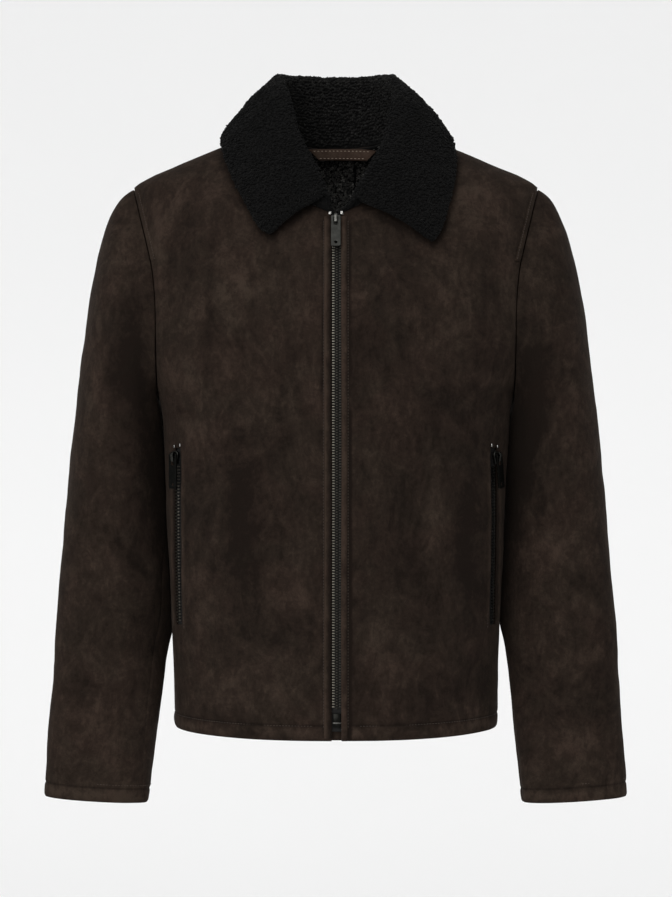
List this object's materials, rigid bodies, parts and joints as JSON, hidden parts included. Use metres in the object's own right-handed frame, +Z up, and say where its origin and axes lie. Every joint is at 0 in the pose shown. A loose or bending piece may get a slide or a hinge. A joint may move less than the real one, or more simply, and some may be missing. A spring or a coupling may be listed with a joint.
{
  "type": "leather jacket",
  "caption": "Waist-length suede jacket with a fold-over fleece collar, full front zip and zipped side pockets, filled out as worn.",
  "frame": {"origin": "middle of the neck opening, level with the tops of the two shoulder seams", "axes": "+Z up, +X to the wearer's left, +Y to the back, so the front zip faces -Y"},
  "size_m": [0.6426, 0.2786, 0.8105],
  "materials": {
    "suede": "napped, dark brown",
    "fleece": "short curls, black",
    "zip_tape": "woven, near black",
    "dark_metal": "gunmetal, worn bright on its edges"
  },
  "bodies": {
    "jacket": {"armhole_strap_back_left": "suede", "armhole_strap_back_right": "suede", "armhole_strap_left": "suede", "armhole_strap_right": "suede", "back": "suede", "collar": "fleece", "edge_strip_left": "suede", "edge_strip_right": "suede", "front_left": "suede", "front_right": "suede", "front_slider": "dark_metal", "front_zip_box": "dark_metal", "front_zip_chain": "dark_metal", "front_zip_stop_left": "dark_metal", "front_zip_stop_right": "dark_metal", "front_zip_tape": "zip_tape", "hanger_loop": "suede", "neck_facing": "fleece", "pocket_left_slider": "dark_metal", "pocket_left_stop_inner": "dark_metal", "pocket_left_stop_outer": "dark_metal", "pocket_left_zip_chain": "dark_metal", "pocket_left_zip_tape": "zip_tape", "pocket_right_slider": "dark_metal", "pocket_right_stop_inner": "dark_metal", "pocket_right_stop_outer": "dark_metal", "pocket_right_zip_chain": "dark_metal", "pocket_right_zip_tape": "zip_tape", "under_sleeve_left": "suede", "under_sleeve_right": "suede", "underlap": "suede", "upper_sleeve_left": "suede", "upper_sleeve_right": "suede"},
    "front_tab": {"front_pull_tab": "dark_metal"},
    "pocket_left_tab": {"pocket_left_pull_tab": "dark_metal"},
    "pocket_right_tab": {"pocket_right_pull_tab": "dark_metal"}
  },
  "joints": [
    {"name": "front_tab_swing", "type": "hinge", "parent": "jacket", "child": "front_tab", "pos_m": [0, -0.10516, -0.10376], "axis": [-1, 0, 0], "range_deg": [0, 135]},
    {"name": "pocket_left_tab_swing", "type": "hinge", "parent": "jacket", "child": "pocket_left_tab", "pos_m": [0.17634, -0.07911, -0.3594], "axis": [-0.6204, -0.758, -0.2013], "range_deg": [0, 150]},
    {"name": "pocket_right_tab_swing", "type": "hinge", "parent": "jacket", "child": "pocket_right_tab", "pos_m": [-0.17609, -0.07993, -0.35944], "axis": [-0.8171, 0.5746, 0.0467], "range_deg": [0, 150]}
  ]
}
